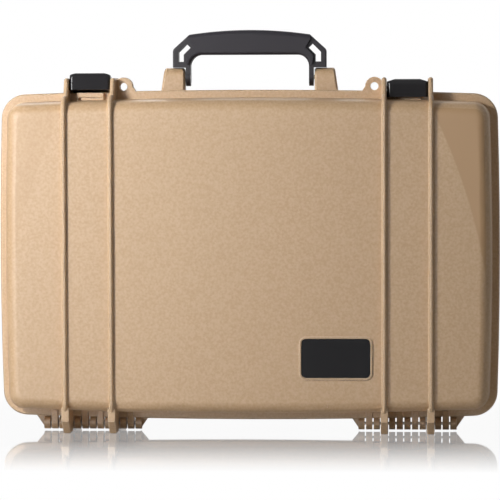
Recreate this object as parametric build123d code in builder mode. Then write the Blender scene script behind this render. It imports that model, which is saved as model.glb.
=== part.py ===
from build123d import *
import os
from math import radians, tan

# Laptop hard case, standing on its hinge side with the lid to the front (-Y) and the handle up.
# Millimetres. X runs along the width, Y from lid to base, Z up from the feet.

# ---- driving dimensions ----
# case
case_width = 509.0        # over the bowed side rims
rim_height = 336.0        # over the bowed top and bottom rims
case_depth = 118.0        # lid ribs to base ribs
lid_depth = 47.0          # lid ribs to parting plane
foot_height = 12.0        # feet below the lowest point of the rim
side_bow = 3.0
top_bow = 5.0
corner_radius = 25.0
wall = 4.0
rim_reach = 7.5           # rim beyond the wall
rim_thick = 5.0
rim_chamfer = 1.2
part_gap = 0.4            # between the two rims, closed
lid_draft = 4.0
base_draft = 1.8
face_round = 12.5
# ribs and feet
outer_rib_inset = 70.2    # outer ribs from the sides of the case
rib_spacing = 46.9        # inner rib from the outer one
rib_width = 4.7
rib_proud = 4.0
rib_bend = 15.0
rib_chamfer = 1.4
foot_width = 7.4
foot_near_y = 11.0        # inner face of a foot from the hinge plane
foot_toe_inset = 3.0      # toe from the rib's outer line
foot_toe_run = 16.0
foot_rise = 14.0
# latch flanges and padlock ears
flange_top = 12.2         # above the highest point of the rim
lid_flange_depth = 16.0
base_flange_depth = 38.0
flange_slope = 8.0
flange_round = 4.0
ear_radius = 9.4
ear_hole_radius = 4.0
ear_flare = 6.0           # wider on each side, one radius below the centre
ear_offset = 9.9          # ear centre from the inner rib
ear_rise = 3.4            # ear centre above the highest point of the rim
# hinges
axis_height = 7.8
knuckle_radius = 6.4
knuckle_count = 13
knuckle_pitch = 7.8
knuckle_gap = 1.4
knuckle_clearance = 0.6
hinge_pin_radius = 1.5
gusset_length = 11.0
running_clearance = 0.05
# gasket and tongue
gasket_inset = 6.6        # centre line of the seal from the rim's edge
gasket_width = 4.4
gasket_height = 3.2
groove_depth = 4.0
tongue_width = 1.8
tongue_height = 0.8
seat_clearance = 0.3
# label
label_x = 88.8
label_z = 78.5
label_width = 69.0
label_height = 39.0
label_corner = 4.6
label_thick = 0.9
label_frame = 2.2
label_proud = 1.1
label_recess = 0.6
# handle
handle_pivot_y = 8.0
handle_pivot_z = 361.0
handle_outer_x = 78.5
handle_rise = 48.0        # pivot to the top of the grip
handle_shoulder_x = 61.5
handle_shoulder_drop = 4.6
handle_elbow_drop = 20.0
handle_inner_x = 60.7
grip_under_x = 48.8
grip_under_rise = 22.8
arm_depth = 17.0
arm_round = 2.6
arm_edge = 1.2
tail_width = 4.6
tail_radius = 9.1
window_width = 5.7
window_x = 70.1
window_low = 15.7
window_bend = 24.2
window_reach = 7.8
grip_depth = 23.0
grip_round = 5.0
grip_under_round = 3.0
grip_neck_x = 62.4        # the grip's end, stepped along the window
grip_neck_rise = 38.8
grip_waist_x = 57.5
grip_waist_rise = 30.0
grip_heel_x = 65.6
grip_heel_rise = 21.9
grip_toe_x = 64.0
grip_toe_rise = 12.9
core_height = 9.0
core_depth = 9.0
handle_pin_radius = 2.2
bracket_inner_x = 66.5
bracket_width = 25.0
bracket_lean = 4.6
bracket_radius = 9.5
bracket_base = 17.0
bracket_flare = 9.0
bracket_chamfer = 1.5
bracket_grip = 13.0       # depth of the pin's hole in the bracket
# latches
latch_pivot_y = 14.0
latch_pivot_z = 350.0
latch_width = 41.5
latch_reach = 42.0        # pivot to the lever's nose
latch_rise = 8.5          # pivot to the lever's top
latch_nose_drop = 9.6
latch_nose_round = 5.0
latch_skirt_drop = 2.4
latch_crown_width = 25.0
latch_crown_drop = 2.7
latch_side_round = 3.5
latch_wall = 2.6
latch_lip = 3.0
latch_pin_radius = 1.5
latch_ajar = 11.0         # the left latch stands this far open
claw_pivot_y = -14.0
claw_pivot_z = 1.6
claw_width = 30.0
claw_thick = 2.6
claw_arm = 2.8
claw_boss_radius = 2.6
claw_drop = 8.0
claw_pin_radius = 1.1
claw_ratio = 0.25         # the claw lags the lever by this share of its turn
keeper_width = 27.0
keeper_proud = 4.4
keeper_drop = 0.6         # keeper's top below the rim
keeper_height = 9.6
keeper_groove = 0.9       # width and depth of the groove across the keeper
keeper_gap = 0.4          # claw to keeper, closed
keeper_hole = 3.0
# valve
valve_y = 28.0
valve_radius = 10.0
valve_proud = 4.0
valve_stem_radius = 5.0
valve_seat_rise = 0.5
valve_seat_rim = 2.0
valve_stem_over = 0.8
valve_nut_radius = 8.5
valve_nut_thick = 3.0
valve_seal_thick = 1.0
# foam
foam_clearance = 0.5
foam_edge = 2.0
lid_foam_thick = 35.5
pad_thick = 10.0
tray_thick = 48.0
bay_width = 404.0
bay_height = 264.0
bay_depth = 38.0
bay_corner = 12.0
bay_notch_radius = 16.0

# ---- derived places ----
front_y = -case_depth / 2
back_y = case_depth / 2
part_y = front_y + lid_depth
lid_rim_y = part_y - part_gap / 2
base_rim_y = part_y + part_gap / 2
lid_face_y = front_y + rib_proud
base_face_y = back_y - rib_proud
rim_low = foot_height
rim_high = foot_height + rim_height
centre_z = foot_height + rim_height / 2
cavity_inset = rim_reach + wall
outer_rib_x = case_width / 2 - outer_rib_inset
inner_rib_x = outer_rib_x - rib_spacing
latch_x = (inner_rib_x + outer_rib_x) / 2
rib_places = [-outer_rib_x, -inner_rib_x, inner_rib_x, outer_rib_x]
sides = {"left": -1, "right": 1}


def bow_drop(x):
    """How far the bowed top rim lies below its highest point at this distance from the middle."""
    return top_bow * (x / (case_width / 2)) ** 2


hinge_half = (knuckle_count * knuckle_pitch - knuckle_gap) / 2
latch_rim_z = rim_high - bow_drop(latch_x)
ear_x = inner_rib_x - ear_offset
ear_z = rim_high + ear_rise
keeper_top = latch_rim_z - keeper_drop
keeper_y = lid_rim_y - rim_thick - keeper_proud
valve_seat_z = rim_high - rim_reach + valve_seat_rise
valve_nut_z = rim_high - cavity_inset - (valve_y - base_rim_y) * tan(radians(base_draft)) - seat_clearance
valve_stem_low = valve_nut_z - valve_nut_thick - valve_stem_over
valve_stem_length = valve_seat_z + valve_seal_thick - valve_stem_low


# ---- case forms ----
def outline(inset):
    """The bowed outline of the case, drawn inside the rim's edge by the inset."""
    half_x = case_width / 2 - inset
    half_z = rim_height / 2 - inset
    corner_x = half_x - side_bow
    corner_z = half_z - top_bow
    with BuildSketch(mode=Mode.PRIVATE) as flat:
        with BuildLine():
            ThreePointArc((-corner_x, -corner_z), (0, -half_z), (corner_x, -corner_z))
            ThreePointArc((corner_x, -corner_z), (half_x, 0), (corner_x, corner_z))
            ThreePointArc((corner_x, corner_z), (0, half_z), (-corner_x, corner_z))
            ThreePointArc((-corner_x, corner_z), (-half_x, 0), (-corner_x, -corner_z))
        make_face()
        fillet(flat.vertices(), max(corner_radius - inset, 2 * wall))
    return flat.sketch


def facing(y, way, z=0.0):
    """A plane across the case at y that faces the way of travel, +1 to the back, -1 to the front."""
    return Plane(origin=(0, y, z), x_dir=(-way, 0, 0), z_dir=(0, way, 0))


def front(y, x=0.0, z=0.0):
    """A plane across the case at y, seen from the lid: local x is X, local y is Z, normal -Y."""
    return Plane(origin=(x, y, z), x_dir=(1, 0, 0), z_dir=(0, -1, 0))


def drafted(inset, from_y, to_y, wall_draft, edge_round):
    """A block of the case's outline, drafted along its depth and rounded at its far face."""
    way = 1 if to_y > from_y else -1
    near_plane = facing(from_y, way, z=centre_z)
    with BuildPart() as block:
        with BuildSketch(near_plane):
            add(outline(inset))
        extrude(amount=abs(to_y - from_y))
        walls = block.faces().filter_by(Axis.Y, reverse=True)
        draft(walls, near_plane, wall_draft)
        far_face = block.faces().sort_by(Axis.Y)[-1 if way > 0 else 0]
        fillet(far_face.edges(), edge_round)
    return block.part


def rim(from_y, way):
    """The rim flange with its outer edge chamfered."""
    with BuildPart() as flange:
        with BuildSketch(facing(from_y, way, z=centre_z)):
            add(outline(0))
        extrude(amount=rim_thick)
        far_face = flange.faces().sort_by(Axis.Y)[-1 if way > 0 else 0]
        chamfer(far_face.edges(), rim_chamfer)
    return flange.part


def ring(inset_middle, width, from_y, amount, way):
    """A closed band that follows the rim, centred on the inset line."""
    with BuildPart() as band:
        with BuildSketch(facing(from_y, way, z=centre_z)):
            add(outline(inset_middle - width / 2))
            add(outline(inset_middle + width / 2), mode=Mode.SUBTRACT)
        extrude(amount=amount)
    return band.part


# ---- ribs, flanges and feet ----
def rib(x, rim_y, way, flange_depth, outer_y):
    """A rib plate round one half of the case, rising at the rim into the latch flange."""
    crest = rim_high + flange_top
    top = rim_high - bow_drop(x) - rim_reach + rib_proud
    low = rim_low + bow_drop(x) + rim_reach - rib_proud
    flange_y = rim_y + way * flange_depth
    slope_y = flange_y + way * flange_slope
    with BuildPart() as plate:
        with BuildSketch(Plane.YZ.offset(x - rib_width / 2)) as side:
            with BuildLine():
                Polyline(
                    (rim_y, low), (rim_y, crest), (flange_y, crest), (slope_y, top),
                    (outer_y, top), (outer_y, low), close=True,
                )
            make_face()
            far = side.vertices().group_by(Axis.X)[-1 if way > 0 else 0]
            fillet(far, rib_bend)
            crest_end = side.vertices().group_by(Axis.Y)[-1].sort_by(Axis.X)[-1 if way > 0 else 0]
            fillet(crest_end, flange_round)
        extrude(amount=rib_width)
        long_edges = plate.edges().filter_by(
            lambda e: (e.center().Y - rim_y) * way > rim_thick
            and abs(abs(e.center().X - x) - rib_width / 2) < 0.01
        )
        chamfer(long_edges, rib_chamfer)
    return plate.part


def foot(x, way, outer_y):
    """A foot under a rib, clear of the hinge."""
    top = foot_height + rim_reach + 2 * rib_proud
    near_y = part_y + way * foot_near_y
    toe_y = outer_y - way * foot_toe_inset
    far_y = toe_y - way * foot_toe_run
    with BuildPart() as block:
        with BuildSketch(Plane.YZ.offset(x - foot_width / 2)) as side:
            with BuildLine():
                Polyline(
                    (near_y, top), (near_y, 0), (far_y, 0), (toe_y, foot_rise), (toe_y, top), close=True,
                )
            make_face()
            fillet(side.vertices().group_by(Axis.Y)[0].sort_by(Axis.X)[-1 if way > 0 else 0], flange_round)
        extrude(amount=foot_width)
        chamfer(block.edges().group_by(Axis.Z)[0].filter_by(Axis.Y), rib_chamfer / 2)
    return block.part


def ear(side, rim_y, way):
    """A round padlock ear that stands on the rim beside the inner latch flange."""
    with BuildPart() as lug:
        with BuildSketch(front(rim_y, side * ear_x, ear_z)):
            Circle(ear_radius)
            with BuildLine():
                Polyline(
                    (-ear_radius, 0), (-ear_radius - ear_flare, -ear_radius),
                    (ear_radius + ear_flare, -ear_radius), (ear_radius, 0), close=True,
                )
            make_face()
            Circle(ear_hole_radius, mode=Mode.SUBTRACT)
        extrude(amount=-way * rim_thick)
    return lug.part


# ---- hinges ----
def knuckle_x(side, number):
    """Middle of a knuckle, counted from the inner end of the hinge."""
    return side * (latch_x + (number - (knuckle_count - 1) / 2) * knuckle_pitch)


def knuckles(rim_y, way, first):
    """Every second knuckle of both hinges, with its web up to the rim, bored for the pin."""
    own = [knuckle_x(side, n) for side in sides.values() for n in range(first, knuckle_count, 2)]
    length = knuckle_pitch - knuckle_gap
    web_top = rim_low + rim_reach + wall / 2
    with BuildPart() as row:
        for x in own:
            with BuildSketch(Plane.YZ.offset(x - length / 2)):
                with Locations((part_y, axis_height)):
                    Circle(knuckle_radius)
                with Locations((rim_y + way * knuckle_radius / 2, (axis_height + web_top) / 2)):
                    Rectangle(knuckle_radius, web_top - axis_height)
                with Locations((part_y, axis_height)):
                    Circle(hinge_pin_radius + running_clearance, mode=Mode.SUBTRACT)
            extrude(amount=length)
    return row.part


def knuckle_pockets(first):
    """Scallops in a rim that let the other half's knuckles turn."""
    others = [knuckle_x(side, n) for side in sides.values() for n in range(first, knuckle_count, 2)]
    length = knuckle_pitch + knuckle_gap - 2 * running_clearance
    with BuildPart() as cuts:
        for x in others:
            with BuildSketch(Plane.YZ.offset(x - length / 2)):
                with Locations((part_y, axis_height)):
                    Circle(knuckle_radius + knuckle_clearance)
            extrude(amount=length)
    return cuts.part


def gussets():
    """Sloped ends of both hinges, on the base's side of the pin."""
    top = rim_low + rim_reach
    low = axis_height - knuckle_radius
    with BuildPart() as ends:
        for side in sides.values():
            for end in (-1, 1):
                near_x = side * latch_x + end * (hinge_half - knuckle_gap)
                far_x = side * latch_x + end * (hinge_half + gusset_length)
                with BuildSketch(front(base_rim_y)):
                    with BuildLine():
                        Polyline((near_x, low), (near_x, top), (far_x, top), close=True)
                    make_face()
                extrude(amount=-knuckle_radius)
    return ends.part


# ---- lid shell ----
def keeper(side):
    """Grooved bar in front of the lid's rim that the latch claw hooks over."""
    x = side * latch_x
    rim_front = lid_rim_y - rim_thick / 2
    groove_z = keeper_top - keeper_height / 2
    low = keeper_top - keeper_height
    with BuildPart() as bar:
        with BuildSketch(Plane.YZ.offset(x - keeper_width / 2)):
            with BuildLine():
                Polyline(
                    (rim_front, low), (rim_front, keeper_top), (keeper_y, keeper_top), (keeper_y, groove_z),
                    (keeper_y + keeper_groove, groove_z), (keeper_y + keeper_groove, groove_z - keeper_groove),
                    (keeper_y, groove_z - keeper_groove), (keeper_y, low), close=True,
                )
            make_face()
        extrude(amount=keeper_width)
        with BuildSketch(front(keeper_y, x, low + keeper_hole)):
            with Locations((keeper_hole - keeper_width / 2, 0)):
                Rectangle(keeper_hole, keeper_hole)
        extrude(amount=-keeper_proud, mode=Mode.SUBTRACT)
    return bar.part


def label_patch(grow):
    """The label's outline on the lid's face, grown on every side."""
    with BuildSketch(mode=Mode.PRIVATE) as patch:
        RectangleRounded(label_width + 2 * grow, label_height + 2 * grow, label_corner + grow)
    return patch.sketch


with BuildPart() as lid_shell:
    add(drafted(rim_reach, lid_rim_y, lid_face_y, lid_draft, face_round))
    add(rim(lid_rim_y, -1))
    for x in rib_places:
        add(rib(x, lid_rim_y, -1, lid_flange_depth, front_y))
        add(foot(x, -1, front_y))
    for side in sides.values():
        add(ear(side, lid_rim_y, -1))
        add(keeper(side))
    with BuildSketch(front(lid_face_y + wall / 2, label_x, label_z)):
        add(label_patch(label_frame))
    extrude(amount=wall / 2 + label_proud)
    with BuildSketch(front(lid_face_y + label_recess, label_x, label_z)):
        add(label_patch(seat_clearance))
    extrude(amount=label_recess + label_proud, mode=Mode.SUBTRACT)
    add(knuckle_pockets(0), mode=Mode.SUBTRACT)
    add(knuckles(lid_rim_y, -1, 1))
    add(drafted(cavity_inset, lid_rim_y, lid_face_y + wall, lid_draft, face_round - wall), mode=Mode.SUBTRACT)
    add(ring(gasket_inset, gasket_width + 2 * seat_clearance, lid_rim_y, groove_depth, -1), mode=Mode.SUBTRACT)
lid_shell.part.label = "lid_shell"


# ---- base shell ----
def bracket(side):
    """A handle bracket: round about the pivot, flared onto the wall and leaning out to the corner."""
    inner_x = side * bracket_inner_x
    outer_x = side * (bracket_inner_x + bracket_width)
    over_x = outer_x - side * 2 * bracket_lean
    seat_z = rim_high - rim_reach - wall / 2
    flare_z = seat_z + bracket_flare
    height = handle_pivot_z + bracket_radius - seat_z
    over_z = seat_z + 2 * height
    with BuildPart() as block:
        with BuildSketch(Plane.YZ.offset(min(inner_x, outer_x))):
            with Locations((handle_pivot_y, handle_pivot_z)):
                Circle(bracket_radius)
            with BuildLine():
                Polyline(
                    (handle_pivot_y - bracket_radius, handle_pivot_z),
                    (handle_pivot_y - bracket_radius, flare_z), (handle_pivot_y - bracket_base, seat_z),
                    (handle_pivot_y + bracket_base, seat_z), (handle_pivot_y + bracket_radius, flare_z),
                    (handle_pivot_y + bracket_radius, handle_pivot_z), close=True,
                )
            make_face()
        extrude(amount=bracket_width)
        with BuildSketch(front(handle_pivot_y)):
            with BuildLine():
                Polyline((inner_x, seat_z), (outer_x, seat_z), (over_x, over_z), (inner_x, over_z), close=True)
            make_face()
        extrude(amount=bracket_base, both=True, mode=Mode.INTERSECT)
        top_edges = block.edges().filter_by(lambda e: e.center().Z > handle_pivot_z + bracket_radius / 2)
        chamfer(top_edges, bracket_chamfer)
        with BuildSketch(Plane.YZ.offset(inner_x)):
            with Locations((handle_pivot_y, handle_pivot_z)):
                Circle(handle_pin_radius + running_clearance)
        extrude(amount=side * bracket_grip, mode=Mode.SUBTRACT)
    return block.part


with BuildPart() as base_shell:
    add(drafted(rim_reach, base_rim_y, base_face_y, base_draft, face_round))
    add(rim(base_rim_y, 1))
    for x in rib_places:
        add(rib(x, base_rim_y, 1, base_flange_depth, back_y))
        add(foot(x, 1, back_y))
    for side in sides.values():
        add(ear(side, base_rim_y, 1))
        add(bracket(side))
    with BuildSketch(Plane.XY.offset(valve_seat_z)):
        with Locations((0, valve_y)):
            Circle(valve_radius + valve_seat_rim)
    extrude(amount=-(rim_reach + wall / 2))
    add(knuckle_pockets(1), mode=Mode.SUBTRACT)
    add(knuckles(base_rim_y, 1, 0))
    add(gussets())
    add(drafted(cavity_inset, base_rim_y, base_face_y - wall, base_draft, face_round - wall), mode=Mode.SUBTRACT)
    add(ring(gasket_inset, tongue_width, base_rim_y, tongue_height, -1))
    with BuildSketch(Plane.XY.offset(valve_seat_z)):
        with Locations((0, valve_y)):
            Circle(valve_stem_radius + seat_clearance)
    extrude(amount=-2 * (rim_reach + wall), mode=Mode.SUBTRACT)
    with BuildSketch(Plane.YZ.offset(-outer_rib_x - rib_width)):
        with Locations((latch_pivot_y, latch_pivot_z)):
            Circle(latch_pin_radius + running_clearance)
    extrude(amount=2 * (outer_rib_x + rib_width), mode=Mode.SUBTRACT)
base_shell.part.label = "base_shell"

# ---- seal, label, hinge pins ----
with BuildPart() as lid_gasket:
    add(ring(gasket_inset, gasket_width, lid_rim_y - groove_depth, gasket_height, 1))
lid_gasket.part.label = "lid_gasket"

with BuildPart() as label_plate:
    with BuildSketch(front(lid_face_y + label_recess, label_x, label_z)):
        add(label_patch(0))
    extrude(amount=label_thick)
label_plate.part.label = "label_plate"


def rod(x, y, z, radius, length):
    """A round pin along X, centred at the point."""
    with BuildPart() as pin:
        with BuildSketch(Plane.YZ.offset(x - length / 2)):
            with Locations((y, z)):
                Circle(radius)
        extrude(amount=length)
    return pin.part


hinge_pins = {}
for name, side in sides.items():
    length = 2 * (hinge_half - knuckle_gap - seat_clearance)
    hinge_pins[name] = rod(side * latch_x, part_y, axis_height, hinge_pin_radius, length)
    hinge_pins[name].label = name + "_hinge_pin"


# ---- latches, each drawn about its own pivot and then placed ----
def make_lever():
    """Hollow lever with a crowned top, a nose over the keeper and a round heel about the pivot."""
    nose = -latch_reach
    pocket_top = latch_rise - latch_crown_drop - latch_wall / 2
    pocket_width = latch_width - 2 * latch_wall
    with BuildPart() as lever:
        with BuildSketch(Plane.YZ.offset(-latch_width / 2)) as side_view:
            with BuildLine():
                Polyline(
                    (0, latch_rise), (nose, latch_rise), (nose, -latch_nose_drop),
                    (nose + 2 * latch_lip, -latch_nose_drop), (nose + 3 * latch_lip, -latch_skirt_drop),
                    (0, -latch_skirt_drop), close=True,
                )
            make_face()
            fillet(side_view.vertices().sort_by(Axis.X)[:2].sort_by(Axis.Y)[-1], latch_nose_round)
            Circle(latch_rise)
        extrude(amount=latch_width)
        with BuildSketch(front(0)):
            with BuildLine():
                Polyline(
                    (-latch_width / 2, -latch_reach), (-latch_width / 2, latch_rise - latch_crown_drop),
                    (-latch_crown_width / 2, latch_rise), (latch_crown_width / 2, latch_rise),
                    (latch_width / 2, latch_rise - latch_crown_drop), (latch_width / 2, -latch_reach),
                    close=True,
                )
            make_face()
        extrude(amount=2 * latch_reach, both=True, mode=Mode.INTERSECT)
        nose_sides = lever.edges().filter_by(
            lambda e: abs(abs(e.center().X) - latch_width / 2) < latch_wall and e.center().Y < nose + 0.1 * latch_lip
        )
        fillet(nose_sides.filter_by(Axis.Z), latch_side_round)
        with BuildSketch(Plane.YZ.offset(-pocket_width / 2)):
            with BuildLine():
                Polyline(
                    (0, pocket_top), (nose + latch_lip, pocket_top), (nose + latch_lip, -latch_reach),
                    (0, -latch_reach), close=True,
                )
            make_face()
            Circle(pocket_top)
        extrude(amount=pocket_width, mode=Mode.SUBTRACT)
        for side in sides.values():
            with BuildSketch(Plane.YZ.offset(side * pocket_width / 2)):
                Circle(latch_pin_radius + latch_wall / 2)
                with Locations((claw_pivot_y, claw_pivot_z)):
                    Circle(claw_pin_radius + latch_wall / 2)
            extrude(amount=side * (claw_width / 2 + seat_clearance - pocket_width / 2))
        with BuildSketch(Plane.YZ.offset(-latch_width / 2)):
            Circle(latch_pin_radius + running_clearance)
            with Locations((claw_pivot_y, claw_pivot_z)):
                Circle(claw_pin_radius + running_clearance)
        extrude(amount=latch_width, mode=Mode.SUBTRACT)
    return lever.part


def make_claw():
    """Claw about its own pin: an arm forward to the hook's tip, which drops in front of the keeper."""
    tip_inner = keeper_y - keeper_gap - latch_pivot_y - claw_pivot_y
    tip_outer = tip_inner - claw_thick
    arm = claw_arm / 2
    with BuildPart() as claw:
        with BuildSketch(Plane.YZ.offset(-claw_width / 2)) as side_view:
            with BuildLine():
                Polyline(
                    (0, arm), (tip_outer, arm), (tip_outer, -claw_drop), (tip_inner, -claw_drop),
                    (tip_inner, -arm), (0, -arm), close=True,
                )
            make_face()
            fillet(side_view.vertices().group_by(Axis.X)[0].sort_by(Axis.Y)[-1], claw_thick / 2)
            Circle(claw_boss_radius)
            Circle(claw_pin_radius + running_clearance, mode=Mode.SUBTRACT)
        extrude(amount=claw_width)
        with BuildSketch(Plane.XY.offset(-2 * claw_drop)):
            with Locations((0, tip_inner / 2)):
                Rectangle(claw_width - 4 * claw_thick, -tip_inner - 2 * claw_arm - claw_boss_radius)
        extrude(amount=4 * claw_drop, mode=Mode.SUBTRACT)
    return claw.part


lever_form = make_lever()
claw_form = make_claw()
latch_open = {"left": latch_ajar, "right": 0.0}
latch_pieces = []
for name, side in sides.items():
    pivot = Location((side * latch_x, latch_pivot_y, latch_pivot_z), (-latch_open[name], 0, 0))
    claw_seat = pivot * Location((0, claw_pivot_y, claw_pivot_z), (claw_ratio * latch_open[name], 0, 0))
    pin_length = outer_rib_x - inner_rib_x + rib_width
    claw_pin_length = latch_width - 2 * seat_clearance
    forms = {
        "_latch_lever": (pivot, lever_form),
        "_latch_claw": (claw_seat, claw_form),
        "_latch_pin": (pivot, rod(0, 0, 0, latch_pin_radius, pin_length)),
        "_claw_pin": (claw_seat, rod(0, 0, 0, claw_pin_radius, claw_pin_length)),
    }
    for suffix, (place, form) in forms.items():
        with BuildPart() as piece:
            with Locations(place):
                add(form)
        piece.part.label = name + suffix
        latch_pieces.append(piece.part)


# ---- handle ----
def handle_outline():
    """Front view of the whole handle: arched top, shoulders, straight arms and the hand opening."""
    top_z = handle_pivot_z + handle_rise
    arm_end_z = handle_pivot_z + bracket_radius + seat_clearance
    under_z = handle_pivot_z + grip_under_rise
    with BuildSketch(mode=Mode.PRIVATE) as flat:
        with BuildLine():
            ThreePointArc(
                (-handle_shoulder_x, top_z - handle_shoulder_drop), (0, top_z),
                (handle_shoulder_x, top_z - handle_shoulder_drop),
            )
            Polyline(
                (handle_shoulder_x, top_z - handle_shoulder_drop),
                (handle_outer_x, top_z - handle_elbow_drop), (handle_outer_x, arm_end_z),
                (handle_inner_x, arm_end_z), (handle_inner_x, under_z), (-handle_inner_x, under_z),
                (-handle_inner_x, arm_end_z), (-handle_outer_x, arm_end_z),
                (-handle_outer_x, top_z - handle_elbow_drop),
                (-handle_shoulder_x, top_z - handle_shoulder_drop),
            )
        make_face()
        hand_corners = [v for v in flat.vertices() if abs(v.Y - under_z) < 0.01]
        fillet(hand_corners, handle_inner_x - grip_under_x)
        elbows = [v for v in flat.vertices() if abs(abs(v.X) - handle_outer_x) < 0.01 and v.Y > under_z]
        fillet(elbows, 2 * arm_round)
    return flat.sketch


def grip_zone():
    """The part of the front view that the grip covers, its ends stepped along the windows."""
    over_z = handle_pivot_z + 2 * handle_rise
    end = [
        (handle_shoulder_x, over_z), (handle_shoulder_x, handle_pivot_z + handle_rise - handle_shoulder_drop),
        (grip_neck_x, handle_pivot_z + grip_neck_rise), (grip_waist_x, handle_pivot_z + grip_waist_rise),
        (grip_heel_x, handle_pivot_z + grip_heel_rise), (grip_toe_x, handle_pivot_z + grip_toe_rise),
    ]
    with BuildSketch(mode=Mode.PRIVATE) as zone:
        with BuildLine():
            Polyline(*end, *[(-x, z) for x, z in reversed(end)], close=True)
        make_face()
    return zone.sketch


def core():
    """The frame's bar inside the grip, from arm to arm."""
    mid_z = handle_pivot_z + (handle_rise + grip_under_rise) / 2
    with BuildPart() as bar:
        with BuildSketch(Plane.YZ.offset(-handle_shoulder_x)):
            with Locations((handle_pivot_y, mid_z)):
                Rectangle(core_depth, core_height)
        extrude(amount=2 * handle_shoulder_x)
    return bar.part


with BuildPart() as handle_frame:
    with BuildSketch(front(handle_pivot_y)):
        add(handle_outline())
        add(grip_zone(), mode=Mode.SUBTRACT)
    extrude(amount=arm_depth / 2, both=True)
    window_top = handle_pivot_z + window_bend + window_reach + window_width / 2
    outer_edges = handle_frame.faces().filter_by(Axis.Y).edges().filter_by(
        lambda e: abs(e.center().X) > handle_outer_x - arm_round
        or (abs(e.center().X) > grip_heel_x and e.center().Z > window_top)
    )
    fillet(outer_edges, arm_edge)
    for side in sides.values():
        near_x = min(side * handle_inner_x, side * (handle_inner_x + tail_width))
        with BuildSketch(Plane.YZ.offset(near_x)):
            with Locations((handle_pivot_y, handle_pivot_z)):
                Circle(tail_radius)
            with Locations((handle_pivot_y, handle_pivot_z + grip_toe_rise / 2)):
                Rectangle(arm_depth, grip_toe_rise)
            with Locations((handle_pivot_y, handle_pivot_z)):
                Circle(handle_pin_radius + running_clearance, mode=Mode.SUBTRACT)
        extrude(amount=tail_width)
    add(core())
    with BuildSketch(front(handle_pivot_y)):
        for side in sides.values():
            with BuildLine() as slot:
                Polyline(
                    (side * window_x, handle_pivot_z + window_low),
                    (side * window_x, handle_pivot_z + window_bend),
                    (side * (window_x - window_reach), handle_pivot_z + window_bend + window_reach),
                )
            trace(slot.line, window_width)
    extrude(amount=arm_depth, both=True, mode=Mode.SUBTRACT)
handle_frame.part.label = "handle_frame"

with BuildPart() as handle_grip:
    with BuildSketch(front(handle_pivot_y)):
        add(handle_outline())
        add(grip_zone(), mode=Mode.INTERSECT)
    extrude(amount=grip_depth / 2, both=True)
    long_edges = handle_grip.faces().filter_by(Axis.Y).edges().filter_by(
        lambda e: abs(e.center().X) < grip_waist_x
    )
    fillet(long_edges.filter_by(lambda e: e.center().Z > handle_pivot_z + grip_neck_rise), grip_round)
    fillet(long_edges.filter_by(lambda e: e.center().Z < handle_pivot_z + grip_neck_rise), grip_under_round)
    add(core(), mode=Mode.SUBTRACT)
handle_grip.part.label = "handle_grip"

handle_pins = {}
for name, side in sides.items():
    length = bracket_inner_x + bracket_grip - seat_clearance - handle_inner_x
    middle = side * (handle_inner_x + length / 2)
    handle_pins[name] = rod(middle, handle_pivot_y, handle_pivot_z, handle_pin_radius, length)
    handle_pins[name].label = name + "_handle_pin"

# ---- pressure valve ----
with BuildPart() as valve_body:
    with BuildSketch(Plane.XY.offset(valve_seat_z + valve_seal_thick)):
        with Locations((0, valve_y)):
            Circle(valve_radius)
    extrude(amount=valve_proud)
    chamfer(valve_body.edges().group_by(Axis.Z)[-1], valve_proud / 4)
    with BuildSketch(Plane.XY.offset(valve_seat_z + valve_seal_thick)):
        with Locations((0, valve_y)):
            Circle(valve_stem_radius)
    extrude(amount=-valve_stem_length)
valve_body.part.label = "valve_body"

with BuildPart() as valve_seal:
    with BuildSketch(Plane.XY.offset(valve_seat_z)):
        with Locations((0, valve_y)):
            Circle(valve_radius - seat_clearance)
            Circle(valve_stem_radius + seat_clearance, mode=Mode.SUBTRACT)
    extrude(amount=valve_seal_thick)
valve_seal.part.label = "valve_seal"

with BuildPart() as valve_nut:
    with BuildSketch(Plane.XY.offset(valve_nut_z)):
        with Locations((0, valve_y)):
            RegularPolygon(valve_nut_radius, 6)
            Circle(valve_stem_radius + running_clearance, mode=Mode.SUBTRACT)
    extrude(amount=-valve_nut_thick)
valve_nut.part.label = "valve_nut"


# ---- foam ----
def foam_block(rim_y, wall_draft, from_y, to_y, edge_round):
    """A foam block that fills the drafted cavity between two depths with a small clearance."""
    inset = cavity_inset + foam_clearance + abs(from_y - rim_y) * tan(radians(wall_draft))
    return drafted(inset, from_y, to_y, wall_draft, edge_round)


lid_floor_y = lid_face_y + wall + foam_clearance
base_floor_y = base_face_y - wall - foam_clearance
pad_y = base_floor_y - pad_thick
tray_back_y = pad_y - seat_clearance
tray_y = tray_back_y - tray_thick

with BuildPart() as lid_foam:
    add(foam_block(lid_rim_y, lid_draft, lid_floor_y + lid_foam_thick, lid_floor_y, face_round - wall))
lid_foam.part.label = "lid_foam"

with BuildPart() as base_pad:
    add(foam_block(base_rim_y, base_draft, pad_y, base_floor_y, face_round - wall))
base_pad.part.label = "base_pad"

with BuildPart() as foam_tray:
    add(foam_block(base_rim_y, base_draft, tray_y, tray_back_y, foam_edge))
    with BuildSketch(front(tray_y, 0, centre_z)):
        RectangleRounded(bay_width, bay_height, bay_corner)
        with Locations((-bay_width / 2, 0), (bay_width / 2, 0)):
            Circle(bay_notch_radius)
    extrude(amount=-bay_depth, mode=Mode.SUBTRACT)
    with BuildSketch(Plane.XY.offset(rim_high)):
        with Locations((0, valve_y)):
            Circle(valve_nut_radius + foam_clearance + seat_clearance)
    extrude(amount=-(rim_high - valve_stem_low + foam_clearance), mode=Mode.SUBTRACT)
foam_tray.part.label = "foam_tray"

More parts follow.
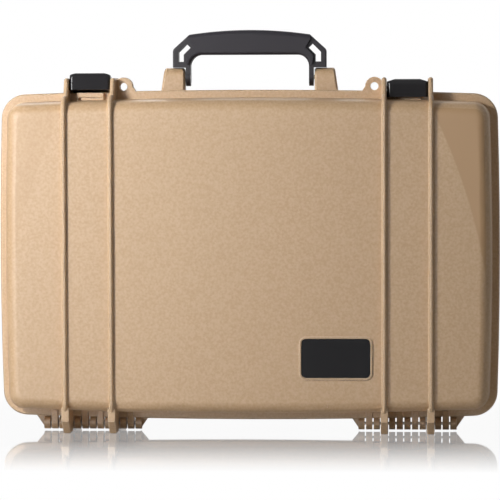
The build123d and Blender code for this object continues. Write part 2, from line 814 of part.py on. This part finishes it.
# ---- files ----
pieces = [
    lid_shell.part, base_shell.part, lid_gasket.part, label_plate.part, handle_frame.part, handle_grip.part,
    valve_body.part, valve_seal.part, valve_nut.part, lid_foam.part, base_pad.part, foam_tray.part,
]
pieces += list(hinge_pins.values()) + list(handle_pins.values()) + latch_pieces
os.makedirs("parts", exist_ok=True)
for piece in pieces:
    export_step(piece, "parts/" + piece.label + ".step")
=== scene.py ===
import bpy
import bmesh
import math
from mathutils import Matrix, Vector, noise


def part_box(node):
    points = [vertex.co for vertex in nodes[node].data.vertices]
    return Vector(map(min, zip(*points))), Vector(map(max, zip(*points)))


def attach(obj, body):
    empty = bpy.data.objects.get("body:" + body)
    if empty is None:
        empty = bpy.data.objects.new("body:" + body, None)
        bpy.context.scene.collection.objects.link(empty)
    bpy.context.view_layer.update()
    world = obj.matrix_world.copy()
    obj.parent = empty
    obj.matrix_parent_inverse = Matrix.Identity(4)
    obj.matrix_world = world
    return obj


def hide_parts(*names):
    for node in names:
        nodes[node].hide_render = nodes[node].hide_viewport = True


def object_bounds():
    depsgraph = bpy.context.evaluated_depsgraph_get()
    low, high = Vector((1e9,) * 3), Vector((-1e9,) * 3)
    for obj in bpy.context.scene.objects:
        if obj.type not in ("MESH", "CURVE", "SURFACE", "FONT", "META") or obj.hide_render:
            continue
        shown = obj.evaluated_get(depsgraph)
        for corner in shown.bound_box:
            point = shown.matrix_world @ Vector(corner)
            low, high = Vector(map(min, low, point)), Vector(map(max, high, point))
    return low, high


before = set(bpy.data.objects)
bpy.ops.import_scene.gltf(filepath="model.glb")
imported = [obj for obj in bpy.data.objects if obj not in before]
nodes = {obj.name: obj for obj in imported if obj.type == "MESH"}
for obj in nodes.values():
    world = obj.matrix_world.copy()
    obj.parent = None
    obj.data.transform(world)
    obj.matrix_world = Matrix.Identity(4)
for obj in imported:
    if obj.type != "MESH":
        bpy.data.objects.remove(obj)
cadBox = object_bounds()
mm = 0.001
print("frame loaded:", len(nodes), "nodes")


# sRGB hex to the linear values that the shaders take
def linear(hexCode):
    parts = [int(hexCode[i:i + 2], 16) / 255 for i in (1, 3, 5)]
    return [p / 12.92 if p <= 0.04045 else ((p + 0.055) / 1.055) ** 2.4 for p in parts] + [1.0]


# one shader node with its settings and the links into it, by socket name or number
def addNode(material, kind, settings=None, links=None):
    node = material.node_tree.nodes.new(kind)
    for name, value in (settings or {}).items():
        if isinstance(name, int) or name in node.inputs:
            node.inputs[name].default_value = value
        else:
            setattr(node, name, value)
    for name, source in (links or {}).items():
        material.node_tree.links.new(source, node.inputs[name])
    return node


# both ends of the From or the To side of a mapped range
def span(part, ends):
    return {part + " Min": ends[0], part + " Max": ends[1]}


def newMaterial(name, settings):
    material = bpy.data.materials.new(name)
    material.use_nodes = True
    shader = material.node_tree.nodes["Principled BSDF"]
    for socket, value in settings.items():
        shader.inputs[socket].default_value = value
    return material, shader


def plug(material, shader, sockets):
    for name, source in sockets.items():
        material.node_tree.links.new(source, shader.inputs[name])


# cosine between the rounded and the true normal where rubbing starts, and where it's full
edgeLean = (0.985, 0.88)


# 0 on flat surfaces, up to 1 along edges that hands and floors rub; on the case it also places a
# painted highlight
def edgeMask(material, radius):
    soft = addNode(material, "ShaderNodeBevel",
                   {"samples": 4, "Radius": radius}).outputs["Normal"]
    flat = addNode(material, "ShaderNodeNewGeometry").outputs["Normal"]
    match = addNode(material, "ShaderNodeVectorMath", {"operation": "DOT_PRODUCT"},
                    {0: soft, 1: flat}).outputs["Value"]
    edge = addNode(material, "ShaderNodeMapRange", span("From", edgeLean),
                   {"Value": match}).outputs[0]
    return edge, soft


# glass-filled polypropylene, injection moulded in a spark-eroded tool: a dull tan whose fine pebble
# breaks the light up, paler along the edges, partly from rubbing and partly as a painted highlight
caseResin = {
    "light": "#ccac87",
    "dark": "#c19e76",
    # the polished corners' darker tone, painted shade standing for the sheen their finish lacks
    "smooth": "#bb966c",
    # pale edge colour: rubbed wear and a painted highlight along ribs and rims
    "worn": "#ecd9bc",
    "pebble": 1.7 * mm,      # the real pebble is near 0.8 mm, drawn coarser so that it shows
    "speck": 0.7,            # specks of the lighter tone to one pebble
    "speckRange": (0.32, 0.68),
    "patch": 70 * mm,
    "wearAndHighlight": 0.5,          # least paling along an edge, from rubbing and painted highlight
    "roughness": (0.46, 0.58),
    "edgeRoughness": 0.4,
    "specular": 0.6,
    "ior": 1.49,
    "bump": 0.22,
    "depth": 0.3 * mm,
    "edge": 1.2 * mm,
}

# the lid's two polished corners lie outside one arc and its mirror image; their darker tone is
# painted shade for the sheen they lack, and the left one is painted fainter as the lit side, with
# the change spread over the blend on each side of the middle
cornerArc = {
    "centre": (-352.1 * mm, 61.7 * mm),
    "radius": 598.8 * mm,
    "soften": 1.5 * mm,
    "face": -53 * mm,
    "left": 0.3,
    "blend": 100 * mm,
}


# above 0 in the upper corners of the lid's face, where the tool was polished and not etched, and
# weaker on the lit left side as painted light
def polishedCorners(material, place):
    r = cornerArc
    x, y, z = addNode(material, "ShaderNodeSeparateXYZ", links={0: place}).outputs
    side = addNode(material, "ShaderNodeMath", {"operation": "ABSOLUTE"}, {0: x}).outputs[0]
    plane = addNode(material, "ShaderNodeCombineXYZ", links={0: side, 2: z}).outputs[0]
    middle = (r["centre"][0], 0, r["centre"][1])
    away = addNode(material, "ShaderNodeVectorMath", {"operation": "DISTANCE", 1: middle},
                   {0: plane}).outputs["Value"]
    outside = addNode(material, "ShaderNodeMapRange",
                      span("From", (r["radius"], r["radius"] + r["soften"])),
                      {"Value": away}).outputs[0]
    front = addNode(material, "ShaderNodeMath", {"operation": "LESS_THAN", 1: r["face"]},
                    {0: y}).outputs[0]
    upper = addNode(material, "ShaderNodeMath", {"operation": "GREATER_THAN", 1: r["centre"][1]},
                    {0: z}).outputs[0]
    # the left corner is cut to a share of the right one: painted light on the lit left side
    fill = addNode(material, "ShaderNodeMapRange",
                   {**span("From", (-r["blend"], r["blend"])), "To Min": r["left"]},
                   {"Value": x}).outputs[0]
    corner = outside
    for limit in (front, upper, fill):
        corner = addNode(material, "ShaderNodeMath", {"operation": "MULTIPLY"},
                         {0: corner, 1: limit}).outputs[0]
    return corner


def mouldedPolypropylene():
    r = caseResin
    material, shader = newMaterial("mouldedPolypropylene", {
        "IOR": r["ior"], "Metallic": 0.0, "Specular IOR Level": r["specular"]})
    place = addNode(material, "ShaderNodeTexCoord").outputs["Object"]
    pebble = addNode(material, "ShaderNodeTexVoronoi",
                     {"feature": "SMOOTH_F1", "Scale": 1 / r["pebble"], "Smoothness": 0.6},
                     {"Vector": place}).outputs["Distance"]
    speck = addNode(material, "ShaderNodeTexNoise",
                    {"Scale": r["speck"] / r["pebble"], "Detail": 2.0},
                    {"Vector": place}).outputs["Fac"]
    patch = addNode(material, "ShaderNodeTexNoise", {"Scale": 1 / r["patch"], "Detail": 3.0},
                    {"Vector": place}).outputs["Fac"]
    tone = addNode(material, "ShaderNodeMapRange", span("From", r["speckRange"]),
                   {"Value": speck}).outputs[0]
    grain = addNode(material, "ShaderNodeMix",
                    {"data_type": "RGBA", 6: linear(r["dark"]), 7: linear(r["light"])},
                    {0: tone}).outputs[2]
    corner = polishedCorners(material, place)
    body = addNode(material, "ShaderNodeMix", {"data_type": "RGBA", 7: linear(r["smooth"])},
                   {0: corner, 6: grain}).outputs[2]
    edge, soft = edgeMask(material, r["edge"])
    wearAndHighlight = addNode(material, "ShaderNodeMapRange", {"To Min": r["wearAndHighlight"]},
                      {"Value": patch}).outputs[0]
    # the paler edges are partly rubbed wear and partly a painted highlight along ribs and rims
    rubbed = addNode(material, "ShaderNodeMath", {"operation": "MULTIPLY"},
                     {0: edge, 1: wearAndHighlight}).outputs[0]
    colour = addNode(material, "ShaderNodeMix", {"data_type": "RGBA", 7: linear(r["worn"])},
                     {0: rubbed, 6: body}).outputs[2]
    dull = addNode(material, "ShaderNodeMapRange", span("To", r["roughness"]),
                   {"Value": patch}).outputs[0]
    gloss = addNode(material, "ShaderNodeMix", {"data_type": "FLOAT", 3: r["edgeRoughness"]},
                    {0: edge, 2: dull}).outputs[0]
    plain = addNode(material, "ShaderNodeMath", {"operation": "MAXIMUM"},
                    {0: corner, 1: edge}).outputs[0]
    height = addNode(material, "ShaderNodeMix", {"data_type": "FLOAT", 3: 0.5},
                     {0: plain, 2: pebble}).outputs[0]
    bump = addNode(material, "ShaderNodeBump",
                   {"Strength": r["bump"], "Distance": r["depth"], "invert": True},
                   {"Height": height, "Normal": soft}).outputs["Normal"]
    plug(material, shader, {"Base Color": colour, "Roughness": gloss, "Normal": bump})
    return material


# black nylon, moulded and lightly polished: deep charcoal with clear highlights and fine flow marks
latchNylon = {
    "base": "#1a181b",
    "worn": "#3c393e",
    "grain": 0.8 * mm,
    "roughness": (0.14, 0.24),
    "ior": 1.53,
    "bump": 0.08,
    "edge": 0.5 * mm,
}

# black glass-filled nylon of the handle's frame and the valve, duller than the latches
handleNylon = {
    "base": "#2a272c",
    "worn": "#48444b",
    "grain": 0.7 * mm,
    "roughness": (0.36, 0.5),
    "ior": 1.53,
    "bump": 0.12,
    "edge": 0.6 * mm,
}

# soft thermoplastic rubber moulded over the grip: matte, slightly greyer, with a leathery grain
gripRubber = {
    "base": "#2c292f",
    "worn": "#4a464d",
    "grain": 1.1 * mm,
    "roughness": (0.5, 0.66),
    "ior": 1.5,
    "bump": 0.25,
    "edge": 0.6 * mm,
}

# black polycarbonate film of the name plate, left bare: flat, satin, with dust-fine grain
plateFilm = {
    "base": "#121114",
    "worn": "#302e32",
    "grain": 0.5 * mm,
    "roughness": (0.2, 0.28),
    "ior": 1.58,
    "bump": 0.04,
    "edge": 0.3 * mm,
}

# extruded EPDM rubber of the seals: near black and dull, with a faint bloom
sealRubber = {
    "base": "#1b1b1d",
    "worn": "#333336",
    "grain": 0.9 * mm,
    "roughness": (0.55, 0.72),
    "ior": 1.52,
    "bump": 0.15,
    "edge": 0.4 * mm,
}

# what the black plastics and rubbers have in common; flow marks are this share of a grain's scale
blackCommon = {"specular": 0.22, "flow": 0.03, "depth": 0.2 * mm}


def mouldedBlack(name, r):
    material, shader = newMaterial(name, {
        "IOR": r["ior"], "Metallic": 0.0, "Specular IOR Level": blackCommon["specular"]})
    place = addNode(material, "ShaderNodeTexCoord").outputs["Object"]
    grain = addNode(material, "ShaderNodeTexNoise",
                    {"Scale": 1 / r["grain"], "Detail": 3.0, "Roughness": 0.6},
                    {"Vector": place}).outputs["Fac"]
    flow = addNode(material, "ShaderNodeTexNoise",
                   {"Scale": blackCommon["flow"] / r["grain"], "Detail": 2.0},
                   {"Vector": place}).outputs["Fac"]
    edge, soft = edgeMask(material, r["edge"])
    rubbed = addNode(material, "ShaderNodeMath", {"operation": "MULTIPLY"},
                     {0: edge, 1: grain}).outputs[0]
    colour = addNode(material, "ShaderNodeMix",
                     {"data_type": "RGBA", 6: linear(r["base"]), 7: linear(r["worn"])},
                     {0: rubbed}).outputs[2]
    gloss = addNode(material, "ShaderNodeMapRange", span("To", r["roughness"]),
                    {"Value": flow}).outputs[0]
    bump = addNode(material, "ShaderNodeBump",
                   {"Strength": r["bump"], "Distance": blackCommon["depth"]},
                   {"Height": grain, "Normal": soft}).outputs["Normal"]
    plug(material, shader, {"Base Color": colour, "Roughness": gloss, "Normal": bump})
    return material


# stainless steel rod, centreless ground: bright, with fine scratches round the pin
pinSteel = {
    "light": "#c9c6c2",
    "dark": "#8f8b87",
    "scratch": 0.25 * mm,
    "around": 60,            # scale of the scratches round the pin, per metre
    "roughness": (0.22, 0.38),
    "bump": 0.06,
    "depth": 0.05 * mm,
}


def groundStainless():
    r = pinSteel
    material, shader = newMaterial("groundStainless", {"Metallic": 1.0})
    place = addNode(material, "ShaderNodeTexCoord").outputs["Object"]
    along = addNode(material, "ShaderNodeMapping",
                    {"Scale": (1 / r["scratch"], r["around"], r["around"])},
                    {"Vector": place}).outputs[0]
    lines = addNode(material, "ShaderNodeTexNoise", {"Scale": 1.0, "Detail": 2.0},
                    {"Vector": along}).outputs["Fac"]
    colour = addNode(material, "ShaderNodeMix",
                     {"data_type": "RGBA", 6: linear(r["dark"]), 7: linear(r["light"])},
                     {0: lines}).outputs[2]
    gloss = addNode(material, "ShaderNodeMapRange", span("To", r["roughness"]),
                    {"Value": lines}).outputs[0]
    bump = addNode(material, "ShaderNodeBump", {"Strength": r["bump"], "Distance": r["depth"]},
                   {"Height": lines}).outputs["Normal"]
    plug(material, shader, {"Base Color": colour, "Roughness": gloss, "Normal": bump})
    return material


# open-cell polyurethane foam, cut with a knife: charcoal, fully matte, pitted by its cells, with
# painted shade darkening the pits
padFoam = {
    "light": "#47464b",
    "dark": "#242327",
    "cell": 1.2 * mm,
    "fuzz": 0.6,             # tufts to one cell
    "pitRange": (0.05, 0.4),
    "roughness": 0.95,
    "sheen": (0.15, 0.6),    # weight and roughness
    "ior": 1.35,
    "bump": 0.7,
    "depth": 0.5 * mm,
}


def openCellFoam():
    r = padFoam
    material, shader = newMaterial("openCellFoam", {
        "Roughness": r["roughness"], "IOR": r["ior"], "Metallic": 0.0,
        "Sheen Weight": r["sheen"][0], "Sheen Roughness": r["sheen"][1]})
    place = addNode(material, "ShaderNodeTexCoord").outputs["Object"]
    cells = addNode(material, "ShaderNodeTexVoronoi", {"feature": "F1", "Scale": 1 / r["cell"]},
                    {"Vector": place}).outputs["Distance"]
    fuzz = addNode(material, "ShaderNodeTexNoise",
                   {"Scale": r["fuzz"] / r["cell"], "Detail": 4.0},
                   {"Vector": place}).outputs["Fac"]
    pits = addNode(material, "ShaderNodeMath", {"operation": "MULTIPLY"},
                   {0: cells, 1: fuzz}).outputs[0]
    # the pits are painted darker as painted shade, by the same value that sinks the bump
    tone = addNode(material, "ShaderNodeMapRange", span("From", r["pitRange"]),
                   {"Value": pits}).outputs[0]
    colour = addNode(material, "ShaderNodeMix",
                     {"data_type": "RGBA", 6: linear(r["light"]), 7: linear(r["dark"])},
                     {0: tone}).outputs[2]
    bump = addNode(material, "ShaderNodeBump",
                   {"Strength": r["bump"], "Distance": r["depth"], "invert": True},
                   {"Height": pits}).outputs["Normal"]
    plug(material, shader, {"Base Color": colour, "Normal": bump})
    return material


resin = mouldedPolypropylene()
foamMaterial = openCellFoam()
steel = groundStainless()
latchBlack = mouldedBlack("mouldedNylon", latchNylon)
handleBlack = mouldedBlack("glassFilledNylon", handleNylon)
gripBlack = mouldedBlack("overmouldedRubber", gripRubber)
plateBlack = mouldedBlack("polycarbonateFilm", plateFilm)
sealBlack = mouldedBlack("extrudedEpdm", sealRubber)

# nodes that show as they are; the shells, the gasket and the foam get pieces of their own below
finishes = {
    "label_plate": plateBlack,
    "handle_frame": handleBlack,
    "handle_grip": gripBlack,
    "valve_body": handleBlack,
    "valve_nut": handleBlack,
    "valve_seal": sealBlack,
}
for side in ("left", "right"):
    for part in ("_latch_lever", "_latch_claw"):
        finishes[side + part] = latchBlack
    for pin in ("_hinge_pin", "_latch_pin", "_claw_pin", "_handle_pin"):
        finishes[side + pin] = steel
for name, finish in finishes.items():
    nodes[name].data.materials.clear()
    nodes[name].data.materials.append(finish)
print("materials ready:", len(finishes), "nodes finished")


# a piece's mesh as its modifiers leave it, in one finish
def settledMesh(piece, finish):
    posed = piece.evaluated_get(bpy.context.evaluated_depsgraph_get())
    mesh = bpy.data.meshes.new_from_object(posed)
    piece.modifiers.clear()
    piece.data = mesh
    mesh.materials.clear()
    mesh.materials.append(finish)
    return mesh


# the two mouldings, with their faces joined up and their shading led by the large faces, so that
# flats look flat
shells = {"join": 0.004 * mm, "sliver": 0.02 * mm, "sharpFrom": math.radians(28)}


def joinedShell(pieceName, nodeName, body):
    bm = bmesh.new()
    bm.from_mesh(nodes[nodeName].data)
    bmesh.ops.remove_doubles(bm, verts=bm.verts, dist=shells["join"])
    bmesh.ops.dissolve_degenerate(bm, edges=bm.edges, dist=shells["sliver"])
    for edge in bm.edges:
        paired = len(edge.link_faces) == 2
        edge.smooth = paired and edge.calc_face_angle(math.pi) < shells["sharpFrom"]
    for face in bm.faces:
        face.smooth = True
    mesh = bpy.data.meshes.new(pieceName)
    bm.to_mesh(mesh)
    bm.free()
    if "custom_normal" in mesh.attributes:
        mesh.attributes.remove(mesh.attributes["custom_normal"])
    piece = bpy.data.objects.new(pieceName, mesh)
    bpy.context.scene.collection.objects.link(piece)
    weigh = piece.modifiers.new("weigh", "WEIGHTED_NORMAL")
    weigh.mode = "FACE_AREA"
    weigh.keep_sharp = True
    settledMesh(piece, resin)
    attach(piece, body)
    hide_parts(nodeName)


joinedShell("lidShell", "lid_shell", "lid")
joinedShell("baseShell", "base_shell", "base")
print("shells ready")


# a soft piece of even mesh, rounded from its solid, which takes that solid's place
def evenedPiece(pieceName, nodeName, body, r, finish):
    piece = bpy.data.objects.new(pieceName, nodes[nodeName].data.copy())
    bpy.context.scene.collection.objects.link(piece)
    even = piece.modifiers.new("even", "REMESH")
    even.mode = "VOXEL"
    even.voxel_size = r["voxel"]
    relax = piece.modifiers.new("relax", "SMOOTH")
    relax.factor = 0.5
    relax.iterations = r["relax"]
    for face in settledMesh(piece, finish).polygons:
        face.use_smooth = True
    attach(piece, body)
    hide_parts(nodeName)
    return piece


# rubber seal of the lid, its extruded corners rounded
gasket = {"voxel": 1.1 * mm, "relax": 4}
evenedPiece("lidGasket", "lid_gasket", "lid", gasket, sealBlack)
print("gasket ready")

# foam pieces, evened out from the block they are cut from, with knife-cut faces that bow a little
foam = {
    "voxel": 4 * mm,
    "relax": 1,
    "eggPitch": 34 * mm,
    "eggDepth": 15 * mm,
    "bow": 0.5 * mm,
    "bowScale": 14,          # waves of the bow, per metre
    "reach": 220 * mm,       # about half a block's length, where the bow is deepest
    "fill": 0.95,
}


def foamPiece(pieceName, nodeName, body, shape):
    piece = evenedPiece(pieceName, nodeName, body, foam, foamMaterial)
    for vertex in piece.data.vertices:
        vertex.co = shape(vertex.co.copy())


lidLow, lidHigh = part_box("lid_foam")


# egg-crate face towards the laptop, its peaks at the block's own face
def eggCrate(point):
    thickness = lidHigh[1] - lidLow[1]
    turn = 2 * math.pi / foam["eggPitch"]
    wave = 0.5 - 0.5 * math.cos(turn * point.x) * math.cos(turn * point.z)
    share = (point.y - lidLow[1]) / thickness
    point.y -= share * wave * foam["eggDepth"]
    return point


def knifeCut(point):
    point.x *= 1 - foam["bow"] * (1 + noise.noise(point * foam["bowScale"])) / foam["reach"]
    return point


foamPiece("lidFoam", "lid_foam", "lid", eggCrate)
foamPiece("foamTray", "foam_tray", "base", knifeCut)
foamPiece("basePad", "base_pad", "base", knifeCut)
print("foam ready")

# floor and world, in metres
studio = {
    "floorSize": 12.0,
    "coveAt": 4.2,
    "coveRadius": 1.2,
    "coveSteps": 16,
    "floorGrey": 0.5,
    "glow": (0.93, 1.0),     # share of plain white in the floor, by the case and away from it
    "polish": 0.7,
    "mirror": 0.96,
    "mirrorRoughness": 0.05,
    "fade": (0.04, 0.24),    # the floor's polish ends this far from the case
    "aim": (0, 0, 0.2),
    "world": 0.05,
    "mirrored": 0.35,        # level of the floor and of what lies below the horizon in reflections
    "floorRise": 20 * mm,    # the floor reflects at its full level from this height up
    "skyRise": 0.03,         # and the world from this far above the horizon
}

# area lights; the sheen is seen in gloss alone, from the left
lamps = {
    "key": {"place": (-0.68, -0.68, 0.6), "size": 0.2, "power": 8.5},
    "fill": {"place": (-1.3, -2.2, 1.2), "size": 1.0, "power": 1.2},
    "back": {"place": (-0.4, 1.5, 1.2), "size": 1.0, "power": 12},
    "side": {"place": (1.3, 0.1, 1.0), "size": 0.8, "power": 1.0},
    "sheen": {"place": (-1.5, -2.6, 0.4), "size": 1.0, "power": 105, "diffuse": False},
}

# camera, in metres, radians, pixels and the sensor's millimetres
view = {
    "place": (0.1475, -2.5987, 0.3444),
    "focal": 2545.7,
    "centre": (280.0, 215.0),
    "yaw": 0.0449,
    "pitch": -0.0478,
    "roll": 0.0027,
    "width": 500.0,
    "sensor": 36.0,
}


# above 0 where a camera, glossy or transmission ray looks, so that a white backdrop shows without
# lighting the case
def seenDirectly(tree, height, rise):
    path = addNode(tree, "ShaderNodeLightPath").outputs
    mirrored = addNode(tree, "ShaderNodeMapRange",
                       {**span("From", (0.0, rise)), "To Min": studio["mirrored"]},
                       {"Value": height}).outputs[0]
    seen = addNode(tree, "ShaderNodeMath", {"operation": "MULTIPLY"},
                   {0: path["Is Glossy Ray"], 1: mirrored}).outputs[0]
    for ray in ("Is Camera Ray", "Is Transmission Ray"):
        seen = addNode(tree, "ShaderNodeMath", {"operation": "MAXIMUM"},
                       {0: seen, 1: path[ray]}).outputs[0]
    return seen


# white acrylic sheet, cast and polished: mirrors the feet and fades to plain white further out
def castAcrylic():
    r = studio
    material, shader = newMaterial("castAcrylic", {
        "Base Color": [r["floorGrey"]] * 3 + [1], "Roughness": 0.6, "IOR": 1.49})
    place = addNode(material, "ShaderNodeNewGeometry").outputs["Position"]
    split = addNode(material, "ShaderNodeSeparateXYZ", links={0: place}).outputs
    far = []
    for axis in (0, 1):
        size = addNode(material, "ShaderNodeMath", {"operation": "ABSOLUTE"},
                       {0: split[axis]}).outputs[0]
        far.append(addNode(material, "ShaderNodeMath",
                           {"operation": "SUBTRACT", 1: cadBox[1][axis]}, {0: size}).outputs[0])
    away = addNode(material, "ShaderNodeMath", {"operation": "MAXIMUM"},
                   {0: far[0], 1: far[1]}).outputs[0]
    near = addNode(material, "ShaderNodeMapRange",
                   {**span("From", r["fade"]), **span("To", (1.0, 0.0))},
                   {"Value": away}).outputs[0]
    white = addNode(material, "ShaderNodeMapRange",
                    {**span("From", r["fade"]), **span("To", r["glow"])},
                    {"Value": away}).outputs[0]
    glow = addNode(material, "ShaderNodeEmission",
                   {"Color": (1, 1, 1, 1), "Strength": 1.0}).outputs[0]
    mirror = addNode(material, "ShaderNodeBsdfGlossy",
                     {"Color": [r["mirror"]] * 3 + [1],
                      "Roughness": r["mirrorRoughness"]}).outputs[0]
    share = addNode(material, "ShaderNodeMath", {"operation": "MULTIPLY"},
                    {0: seenDirectly(material, split[2], r["floorRise"]), 1: white}).outputs[0]
    plain = addNode(material, "ShaderNodeMixShader",
                    links={0: share, 1: shader.outputs[0], 2: glow}).outputs[0]
    # polish shows to the camera alone, so that it throws no light back at the case
    first = addNode(material, "ShaderNodeLightPath").outputs["Is Camera Ray"]
    shown = addNode(material, "ShaderNodeMath", {"operation": "MULTIPLY"},
                    {0: near, 1: first}).outputs[0]
    polish = addNode(material, "ShaderNodeMath", {"operation": "MULTIPLY", 1: r["polish"]},
                     {0: shown}).outputs[0]
    mix = addNode(material, "ShaderNodeMixShader",
                  links={0: polish, 1: plain, 2: mirror}).outputs[0]
    plug(material, material.node_tree.nodes["Material Output"], {"Surface": mix})
    return material


def makeFloor():
    r = studio
    half = r["floorSize"] / 2
    profile = [(-half, 0.0), (r["coveAt"], 0.0)]
    for i in range(1, r["coveSteps"] + 1):
        turn = i / r["coveSteps"] * math.pi / 2
        profile.append((r["coveAt"] + r["coveRadius"] * math.sin(turn),
                        r["coveRadius"] * (1 - math.cos(turn))))
    profile.append((profile[-1][0], half))
    mesh = bpy.data.meshes.new("floor")
    bm = bmesh.new()
    rows = [[bm.verts.new((x, y, z)) for y, z in profile] for x in (-half, half)]
    for i in range(len(profile) - 1):
        bm.faces.new((rows[0][i], rows[1][i], rows[1][i + 1], rows[0][i + 1]))
    bm.to_mesh(mesh)
    bm.free()
    for face in mesh.polygons:
        face.use_smooth = True
    mesh.materials.append(castAcrylic())
    floor = bpy.data.objects.new("floor", mesh)
    bpy.context.scene.collection.objects.link(floor)


def areaLight(name, place, size, power, diffuse=True):
    lamp = bpy.data.lights.new(name, "AREA")
    lamp.size = size
    lamp.energy = power
    holder = bpy.data.objects.new(name, lamp)
    holder.location = place
    aim = Vector(studio["aim"]) - Vector(place)
    holder.rotation_euler = aim.to_track_quat("-Z", "Y").to_euler()
    holder.visible_diffuse = diffuse
    bpy.context.scene.collection.objects.link(holder)


makeFloor()
for lampName, settings in lamps.items():
    areaLight(lampName, **settings)

world = bpy.data.worlds.new("studio")
bpy.context.scene.world = world
world.use_nodes = True
background = world.node_tree.nodes["Background"]
background.inputs["Color"].default_value = (1, 1, 1, 1)
towards = addNode(world, "ShaderNodeTexCoord").outputs["Generated"]
rising = addNode(world, "ShaderNodeSeparateXYZ", links={0: towards}).outputs[2]
level = addNode(world, "ShaderNodeMapRange", span("To", (studio["world"], 1.0)),
                {"Value": seenDirectly(world, rising, studio["skyRise"])}).outputs[0]
plug(world, background, {"Strength": level})
bpy.context.scene.view_settings.view_transform = "Standard"

camera = bpy.data.cameras.new("camera")
camera.sensor_width = view["sensor"]
camera.lens = camera.sensor_width * view["focal"] / view["width"]
camera.shift_x = -(view["centre"][0] - view["width"] / 2) / view["width"]
camera.shift_y = (view["centre"][1] - view["width"] / 2) / view["width"]
eye = bpy.data.objects.new("camera", camera)
eye.location = view["place"]
eye.rotation_euler = (math.pi / 2 + view["pitch"], 0, view["yaw"])
eye.rotation_euler.rotate_axis("Z", -view["roll"])
bpy.context.scene.collection.objects.link(eye)
bpy.context.scene.camera = eye
print("studio ready")
